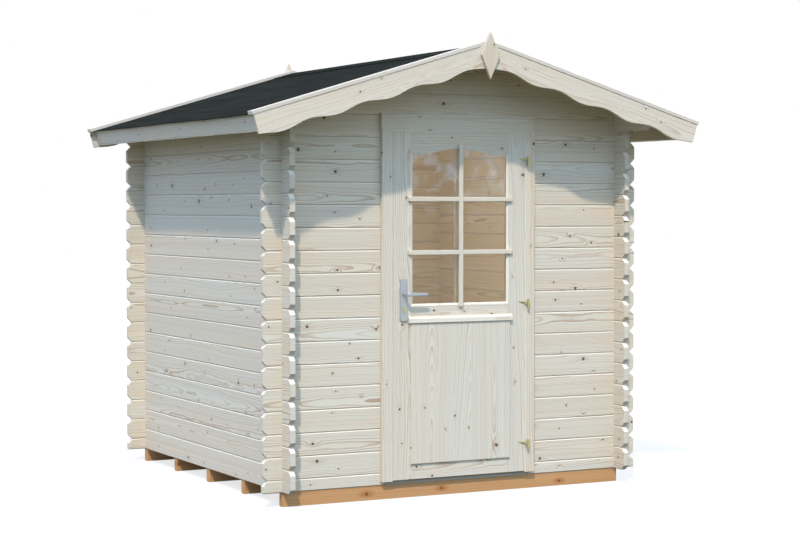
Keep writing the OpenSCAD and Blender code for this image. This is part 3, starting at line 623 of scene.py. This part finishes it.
class RoofingFelt(bpy.types.Operator):
    """Lays the roofing felt: a sheet on each slope, turned down past the fascia, and a ridge strip"""
    bl_idname = "garden_house.roofing_felt"
    bl_label = "Roofing felt"

    @staticmethod
    def lay(name, corners, material, nodes):
        piece = put(name, corners.reshape(-1, 3), grid_faces(*corners.shape[:2]), material, "house", nodes,
                    "roofing_felt", smooth=True)
        solid = piece.modifiers.new("thickness", "SOLIDIFY")
        solid.thickness = FELT_T / 2
        solid.offset = -1

    def execute(self, context):
        sizes = context.scene.house_sizes
        colour = tuple(context.scene.house_colours.felt)
        # Bitumen felt with a slate surface: near black, dull, with slightly paler wavy streaks along
        # the eave, 60 mm wide and 0.5 m long
        material, add = new_material("bitumen_felt_slate_grit")
        place = add("TexCoord").outputs["Object"]
        # Grit of 1 mm, drawn at 3 mm so that it shows
        grit = add("TexNoise", {"Vector": place, "Scale": 330.0, "Detail": 2.0})
        streak = stretched(add, place, (17.0, 2.0, 17.0), 3.0, Distortion=0.9)
        share = add("MapRange", [streak, 0.42, 0.68, 0.0, 0.8])
        speck = add("MapRange", [grit, 0.35, 0.7, -0.15, 0.3])
        share = add("Math ADD", [share, speck], use_clamp=True)
        tone = add("Mix", {"Factor": share, "A": colour, "B": shade(colour, 2.7)}, data_type="RGBA")
        bump = add("Bump", {"Strength": 0.5, "Distance": 0.0008, "Height": grit})
        shader = add("BsdfPrincipled", {"Base Color": tone, "Roughness": 0.95, "Normal": bump,
                                        "Specular IOR Level": 0.04})
        add("OutputMaterial", [shader])
        dress(material, "felt_left", "felt_right")

        # Sheets: slow waves of 0.4 mm, the mean of three sines of the places down the slope and along
        # the ridge. The nosing bends down in a parabola, and its edge wanders by two sines of the place
        # along the eave.
        inset, bend = 0.001, 12.0
        share, y = np.meshgrid(np.linspace(0, 1, 70) ** 0.6,
                               np.linspace(ROOF_FRONT + inset, ROOF_BACK - inset, 90), indexing="ij")
        for side, name in SIDES:
            nose = sizes.felt_nose * (1 + 0.12 * np.sin(5.3 * y + side) + 0.08 * np.sin(17 * y))
            s = share * (FELT_S + nose)
            past = np.maximum(0, s - FELT_S)
            wave = (np.sin(3.1 * y + 2.0 * s + side) + np.sin(7.7 * y - 5.0 * s + 2 * side)
                    + np.sin(13.0 * y + 9.0 * s)) / 3
            n = 0.0004 * wave - 0.0002 - bend * past ** 2
            down, out = slope(side)
            self.lay("felt_sheet_" + name, TOP + s[..., None] * down + n[..., None] * out + y[..., None] * Y,
                     material, ("felt_" + name,))
        # Ridge strip: a hyperbola over the ridge, between the verge strips, with a sine along it
        end_gap, rise, round_off = 0.002, 0.002, 0.004
        front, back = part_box("front_verge_right")[1][1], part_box("back_verge_right")[0][1]
        x, y = np.meshgrid(np.linspace(-1, 1, 41) * sizes.ridge_felt * math.cos(PITCH),
                           np.linspace(front + end_gap, back - end_gap, 50), indexing="ij")
        drop = math.tan(PITCH) * (np.sqrt(x ** 2 + round_off ** 2) - round_off)
        z = RIDGE + rise - drop + 0.0002 * np.sin(9 * y)
        self.lay("felt_ridge_strip", np.stack([x, y, z], axis=-1), material, ())
        return {"FINISHED"}


class RoofTrim(bpy.types.Operator):
    """Adds the fascias, the wavy bargeboards, the verge strips and the diamonds, with eased arrises"""
    bl_idname = "garden_house.roof_trim"
    bl_label = "Roof trim"

    def execute(self, context):
        # Planed spruce trim: as pale as the logs, with pink and brown bands along the board
        trim = spruce("planed_spruce_trim", contrast=0.85, knot_reach=0.04, tint=0.15)
        # Verge strips: an even pale tone, with few knots
        strip = spruce("planed_spruce_verge_strips", pale=linear("#D3D0C8"), warm=linear("#CDC8BE"),
                       ring=0.006, knot_share=0.2)
        number = 900
        for side, name in SIDES:
            down, out = slope(side)
            copied("fascia_board_" + name, "fascia_" + name, trim, (Y, out, number))
            for end in ENDS:
                copied(f"{end}_barge_{name}", f"{end}_bargeboard_{name}", trim, (down, out, number + 1))
                copied(f"{end}_verge_strip_{name}", f"{end}_verge_{name}", strip, (down, Y, number + 2))
                number += 10
        # Diamonds: a slightly darker, warmer board with strong rings
        warmer = spruce("planed_spruce_diamonds", pale=linear("#D0CABC"), warm=linear("#CDBFA9"),
                        contrast=0.7, knot_gap=0.15)
        for end in ENDS:
            copied(end + "_diamond_board", end + "_diamond", warmer, (Z, X, number))
            number += 10
        return {"FINISHED"}


class DoorFrame(bpy.types.Operator):
    """Adds the jambs, head and sill of the door frame, with eased arrises, and the draught strips"""
    bl_idname = "garden_house.door_frame"
    bl_label = "Door frame"

    def execute(self, context):
        # Planed joinery spruce: rings 7 mm apart, wider than the logs'
        joinery = spruce("planed_spruce_door_frame", contrast=0.7, knot_gap=0.25)
        # The jamb on the hinge side is a warmer board
        hinge_side = spruce("planed_spruce_hinge_jamb", contrast=0.7, knot_gap=0.25, tint=0.5)
        # The sill is painted darker and greyer: painted shade from the leaf above it and the gap under the
        # leaf
        sill_painted_shade = spruce("weathered_spruce_sill", pale=linear("#ABACA6"), warm=linear("#A8A298"),
                      knot_share=0.0)
        for name, cad, along, across, number, material in (
                ("jamb_left", "door_jamb_left", Z, X, 1100, joinery),
                ("jamb_right", "door_jamb_right", Z, X, 1110, hinge_side),
                ("head_board", "door_head", X, Z, 1120, joinery),
                ("sill_board", "door_sill", X, Y, 1130, sill_painted_shade)):
            copied(name, cad, material, (along, across, number), slot="joinery_spruce", ease="joinery_arris")
        # Draught strips: beside and above the leaf, just behind the frame's face
        sealed = clear_spruce("planed_spruce_draught_strips", pale=tuple(context.scene.house_colours.fresh),
                              contrast=0.3)
        set_back = 0.0003
        thick = context.scene.house_sizes.draught_strip
        front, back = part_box("door_head")[0][1] + set_back, LEAF_CORNER[1]
        edge, top = (LEAF_CORNER[k] + LEAF_GAP for k in (0, 2))
        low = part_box("door_sill")[1][2]
        upright = [rectangle(-edge, thick - edge, low, top), rectangle(edge - thick, edge, low, top)]
        level = [rectangle(thick - edge, edge - thick, top - thick, top)]
        for name, outlines, along, across, number in (("draught_strips_upright", upright, Z, X, 1140),
                                                      ("draught_strip_level", level, X, Z, 1150)):
            boards(name, [prism(outline, front, back, X, Z, Y) for outline in outlines], along, across,
                   number, sealed, "house", (), "joinery_spruce", 0)
        return {"FINISHED"}


class DoorLeaf(bpy.types.Operator):
    """Adds the stiles, rails, panel and drip moulding of the leaf, with eased arrises"""
    bl_idname = "garden_house.door_leaf"
    bl_label = "Door leaf"

    def execute(self, context):
        # Planed joinery spruce, a little paler than the frame's
        joinery = spruce("planed_spruce_door_leaf", contrast=0.75, knot_gap=0.2, lean=0.03, tint=-0.15)
        # Top rail: a board cut near the surface of the log, with long strong loops
        figured = spruce("planed_spruce_top_rail", contrast=1.0, knot_gap=0.2, lean=0.03, wobble=0.012,
                         tint=-0.15)
        # Drip moulding: paler wood without knots
        moulded = clear_spruce("planed_spruce_drip_moulding", pale=linear("#E4E2D8"), warm=linear("#E2DACB"))
        for name, number, along, across, material in (
                ("stile_left", 1200, Z, X, joinery), ("stile_right", 1210, Z, X, joinery),
                ("top_rail", 1220, X, Z, figured), ("lock_rail", 1230, X, Z, joinery),
                ("bottom_rail", 1240, X, Z, joinery), ("drip_moulding", 1250, X, Z, moulded)):
            copied(name + "_board", name, material, (along, across, number), "door", "joinery_spruce",
                   "joinery_arris")
        # Glued panel: lamellae 100 mm wide, each with its own upright grain
        panel = spruce("glued_spruce_panel", contrast=0.7, knot_gap=0.5, lean=-0.07, tint=-0.2,
                       order="ZXY", start=-1.04, pitch=0.1, middle=0.99, number=1300)
        copied("panel_board", "door_panel", panel, None, "door", "joinery_spruce")
        return {"FINISHED"}


class Glazing(bpy.types.Operator):
    """Finishes the glass and its beads and adds the glazing bars"""
    bl_idname = "garden_house.glazing"
    bl_label = "Glazing"

    def execute(self, context):
        c = context.scene.house_colours
        # Float glass: clear, smooth, with painted reflection: a pale film in soft patches of 75 mm on the
        # upper panes
        material, add = new_material("float_glass")
        place = add("TexCoord").outputs["Object"]
        parts = add("SeparateXYZ", [place])
        patches = add("TexNoise", {"Vector": place, "Scale": 13.0, "Detail": 2.0})
        painted_reflection = add("MapRange", [patches, 0.46, 0.72])
        height = add("MapRange", [parts.outputs["Z"], 1.42, 1.72, 0.02, 0.3])
        painted_reflection = add("Math MULTIPLY", [painted_reflection, height])
        # The panes on the hinge side carry an even film of painted reflection as well
        side = add("MapRange", [parts.outputs["X"], -0.02, 0.1, 0.0, 0.045])
        upper_painted_light = add("MapRange", [parts.outputs["Z"], 1.05, 1.6])
        painted_reflection = add("Math MULTIPLY_ADD", [side, upper_painted_light, painted_reflection])
        clear = add("Math SUBTRACT", [1.0, painted_reflection])
        shader = add("BsdfPrincipled", {"Base Color": tuple(c.glass), "Roughness": 0.0, "IOR": 1.5,
                                        "Transmission Weight": clear})
        add("OutputMaterial", [shader])
        dress(material, "door_glass")

        outer = clear_spruce("planed_spruce_glazing_bars")
        # Beads: the left ones, the level ones and the right ones are different boards
        beads = clear_spruce("planed_spruce_glazing_beads", pale=tuple(c.fresh), order="ZXY",
                             start=-1.0, pitch=0.29, middle=1.0, number=1400)
        # The inner bars are painted paler and warmer: painted room light on their shaded faces
        inner = clear_spruce("yellowed_spruce_inner_bars", pale=linear("#E8D5B6"), warm=linear("#DFC7A2"))
        dress(beads, "glazing_beads")
        half, lap = BAR_W / 2, 0.0002
        for face, bar in (("outer", outer), ("inner", inner)):
            cad = face + "_bars"
            dress(bar, cad)
            lo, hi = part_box(cad)
            mid = (lo[0] + hi[0]) / 2
            upright = [rectangle(mid - half, mid + half, lo[2], hi[2])]
            level = [rectangle(a, b, z - half, z + half)
                     for z in np.linspace(PANE[0][2], PANE[1][2], BAR_ROWS + 2)[1:-1]
                     for a, b in ((lo[0], mid - half - lap), (mid + half + lap, hi[0]))]
            for part, outlines, along, across, number in (("_upright_bar", upright, Z, X, 1500),
                                                          ("_level_bars", level, X, Z, 1510)):
                boards(face + part, [prism(outline, lo[1], hi[1], X, Z, Y) for outline in outlines], along,
                       across, number, bar, "door", (cad,), "joinery_spruce",
                       context.scene.house_sizes.bar_round)
        return {"FINISHED"}


class Hinges(bpy.types.Operator):
    """Adds the hinges of yellow zinc, with their edges eased"""
    bl_idname = "garden_house.hinges"
    bl_label = "Hinges"

    def execute(self, context):
        # Yellow passivated zinc on steel: olive gold, satin, a little cloudy
        zinc = metal("yellow_zinc_plate", tuple(context.scene.house_colours.zinc), 0.42, 0.0015, 0.6, 0.7)
        for name, cad, body in (("hinge_pins", "frame_hinges", "house"),
                                ("hinge_leaves", "door_hinges", "door")):
            copied(name, cad, zinc, None, body, "yellow_zinc", "metal_arris", smooth=True)
        return {"FINISHED"}


class LeverHandle(bpy.types.Operator):
    """Adds the handle plates, the lock cylinder and the rounded levers"""
    bl_idname = "garden_house.lever_handle"
    bl_label = "Lever handle"

    @staticmethod
    def lever(axis, y_face, out, stand, reach, neck, root, tip, thick):
        """A lever: an oval carried out of the plate, round a bend and along to a rounded tip. The oval
        is a circle of radius neck at the plate, and on the lever it has the given thickness and a
        height that shrinks evenly from root to tip. Both its halves follow a quarter circle at the end.
        Its cosine and sine are raised to a power under 1, which squares it a little."""
        bend, power = 0.014, 0.8
        depth = stand + thick / 2
        straight = np.linspace(0, depth - bend, 8)
        turn = np.linspace(0, math.pi / 2, 12)[1:]
        run = np.linspace(0, reach - bend - tip / 2, 14)[1:]
        end = np.sin(np.linspace(0, math.pi / 2, 8)[1:]) * tip / 2
        path_x = np.concatenate([0 * straight, bend * (1 - np.cos(turn)), bend + run, reach - tip / 2 + end])
        path_y = np.concatenate([straight, depth - bend + bend * np.sin(turn), depth + 0 * run,
                                 depth + 0 * end])
        share = np.clip(path_x / reach, 0, 1)
        rounding = np.concatenate([np.ones(len(path_x) - len(end)),
                                   np.sqrt(np.maximum(0, 1 - (end / (tip / 2)) ** 2))])
        blend = np.clip(np.arange(len(path_x)) / (len(straight) + len(turn)), 0, 1)
        half_z = (neck + blend * (root / 2 + (tip - root) / 2 * share - neck)) * rounding
        half_n = (neck + blend * (thick / 2 - neck)) * rounding
        angle = np.linspace(0, 2 * math.pi, 28, endpoint=False)
        c, s = (np.sign(wave) * np.abs(wave) ** power for wave in (np.cos(angle), np.sin(angle)))
        tangent = np.stack([np.gradient(path_x), np.gradient(path_y)], axis=1)
        tangent /= np.linalg.norm(tangent, axis=1)[:, None]
        x = path_x[:, None] - tangent[:, 1:] * half_n[:, None] * c
        y = path_y[:, None] + tangent[:, :1] * half_n[:, None] * c
        z = half_z[:, None] * s + 0 * x
        corners = np.stack([axis[0] + x, y_face + out * y, axis[2] + z], axis=-1).reshape(-1, 3)
        faces = grid_faces(len(path_x), len(angle), wrap=True)
        return corners, faces + [list(range(len(angle)))]

    def execute(self, context):
        c = context.scene.house_colours
        # Satin anodised aluminium: pale blue grey, soft broad gloss
        silver = metal("anodised_aluminium", tuple(c.silver), 0.4, 0.001, 0.25, 0.45)
        dress(silver, "door_handle")
        copied("plates", "handle_plates", silver, None, "door", "satin_silver", "plate_round", segments=3,
               smooth=True)
        # Levers, a little fuller than the frame's, and the outer one further out
        axis = next(j for j in frame["joints"] if j["name"] == "handle_turn")["pos_m"]
        lo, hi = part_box("handle_plates")
        handle_lo, handle_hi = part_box("door_handle")
        neck, tip, thick, further = 0.009, 0.0145, 0.013, 0.006
        root = 1.12 * (handle_hi[2] - handle_lo[2])
        front, back = lo[1] + PLATE_T, hi[1] - PLATE_T
        parts = [self.lever(axis, y, out, stand, handle_hi[0] - axis[0], neck, root, tip, thick)
                 for y, out, stand in ((front, -1, front - handle_lo[1] - thick + further),
                                       (back, 1, handle_hi[1] - hi[1] + PLATE_T - thick))]
        levers = put("levers", *joined(parts), silver, "handle", ("door_handle",), "satin_silver",
                     smooth=True)
        levers.modifiers.new("tip", "WELD").merge_threshold = 0.00002
        # Brass cylinder: satin
        brass = metal("satin_brass", tuple(c.brass), 0.35, 0.001, 0.3)
        copied("cylinder", "lock_cylinder", brass, None, "door", "brass", "metal_arris", smooth=True)
        return {"FINISHED"}


class Stage(bpy.types.Operator):
    """Sets the floor, the sun, the sky, the lamp in the room and the camera"""
    bl_idname = "garden_house.stage"
    bl_label = "Stage"

    def execute(self, context):
        scene = context.scene
        scene.view_settings.view_transform = "Standard"
        white_light = (1.0, 1.0, 1.0, 1.0)

        reach = 40.0
        mesh = bpy.data.meshes.new("ground")
        mesh.from_pydata([(x, y, 0) for x, y in rectangle(-reach, reach, -reach, reach)], [],
                         [(0, 1, 2, 3)])
        ground = linked("ground", mesh)
        # Pale studio floor: white where it is seen, with a soft shadow
        material, add = new_material("studio_floor")
        pale = add("BsdfDiffuse", {"Color": linear("#F4F4F4")})
        glow = add("Emission", [white_light, 1.0])
        white = add("MixShader", [0.75, pale, glow])
        # As a source of bounce it is dull, but paler beside the right wall and, less so, under the house
        place = add("SeparateXYZ", [add("TexCoord").outputs["Object"]])
        beside = add("MapRange", [place.outputs["X"], 1.1, 1.8])
        under = add("MapRange", [place.outputs["X"], -1.6, -1.3, 0.0, 0.4])
        behind_front = add("MapRange", [place.outputs["Y"], -1.0, -0.6])
        share = add("Math MAXIMUM", [beside, under])
        share = add("Math MULTIPLY", [share, behind_front])
        bounce = add("Mix", {"Factor": share, "A": linear("#4F4E37"), "B": linear("#AAA493")},
                     data_type="RGBA")
        dull = add("BsdfDiffuse", {"Color": bounce})
        add("OutputMaterial", [add("MixShader", [seen(add), dull, white])])
        mesh.materials.append(material)

        # Sky: bluer overhead and from the left, brighter from the front, and white where it is seen
        scene.world = bpy.data.worlds.new("soft_sky")
        add = shading(scene.world)
        up = add("SeparateXYZ", [add("TexCoord").outputs["Generated"]])
        high = add("MapRange", [up.outputs["Z"], 0.05, 0.45])
        tone = add("Mix", {"Factor": high, "A": (0.68, 0.78, 0.82, 1.0), "B": (0.95, 1.19, 1.51, 1.0)},
                   data_type="RGBA")
        from_left = add("MapRange", [up.outputs["X"], -0.1, -0.7])
        tone = add("Mix", {"Factor": from_left, "A": tone, "B": (0.99, 1.06, 1.2, 1.0)},
                   data_type="RGBA", blend_type="MULTIPLY")
        lit = add("Math MULTIPLY_ADD", [up.outputs["X"], 0.08, 1.0])
        lit = add("Math MULTIPLY_ADD", [up.outputs["Y"], -0.2, lit])
        sky = add("Background", [tone, lit])
        backdrop = add("Background", [white_light, 1.0])
        add("OutputWorld", [add("MixShader", [seen(add), sky, backdrop])])

        light = bpy.data.lights.new("sun", "SUN")
        light.energy = 2.95
        light.color = (1.0, 0.83, 0.67)
        light.angle = math.radians(1.8)
        sun = linked("sun", light)
        sun.rotation_euler = Vector((0.73, 1.0, -1.55)).to_track_quat("-Z", "Y").to_euler()

        # Lamp: the warm light in the room, which isn't seen itself
        light = bpy.data.lights.new("room_lamp", "AREA")
        light.energy = 24.0
        light.color = (1.0, 0.90, 0.72)
        light.shape = "RECTANGLE"
        light.size = 0.7
        light.size_y = 1.2
        lamp = linked("room_lamp", light)
        lamp.location = (-0.4, -0.5, 1.3)
        lamp.rotation_euler = Vector((0.7, 1.0, 0.0)).to_track_quat("-Z", "Y").to_euler()
        lamp.visible_camera = lamp.visible_glossy = lamp.visible_transmission = False

        lens = bpy.data.cameras.new("camera")
        lens.lens = 86.13
        lens.sensor_width = 36.0
        lens.clip_end = 200
        camera = linked("camera", lens)
        camera.location = (-4.863, -9.673, 1.4955)
        camera.rotation_euler = (math.radians(88.207), 0, math.radians(-27.55))
        scene.camera = camera
        return {"FINISHED"}


OPERATORS = (LogWalls, Bearers, Floorboards, RoofBoards, RoofingFelt, RoofTrim, DoorFrame, DoorLeaf, Glazing,
             Hinges, LeverHandle, Stage)


class HousePanel(bpy.types.Panel):
    """Lists the settings and the steps of the garden house"""
    bl_idname = "VIEW3D_PT_garden_house"
    bl_label = "Garden house"
    bl_space_type = "VIEW_3D"
    bl_region_type = "UI"
    bl_category = "Garden house"

    def draw(self, context):
        layout = self.layout
        for group in (context.scene.house_sizes, context.scene.house_colours):
            box = layout.box()
            for name in group.bl_rna.properties.keys():
                if name not in ("rna_type", "name"):
                    box.prop(group, name)
        for operator in OPERATORS:
            layout.operator(operator.bl_idname)


CLASSES = (HouseSizes, HouseColours) + OPERATORS + (HousePanel,)


def register():
    for item in CLASSES:
        bpy.utils.register_class(item)
    bpy.types.Scene.house_sizes = bpy.props.PointerProperty(type=HouseSizes)
    bpy.types.Scene.house_colours = bpy.props.PointerProperty(type=HouseColours)


def unregister():
    del bpy.types.Scene.house_sizes
    del bpy.types.Scene.house_colours
    for item in reversed(CLASSES):
        bpy.utils.unregister_class(item)


def main():
    register()
    for operator in OPERATORS:
        getattr(bpy.ops.garden_house, operator.bl_idname.split(".")[1])()


if __name__ == "__main__":
    main()
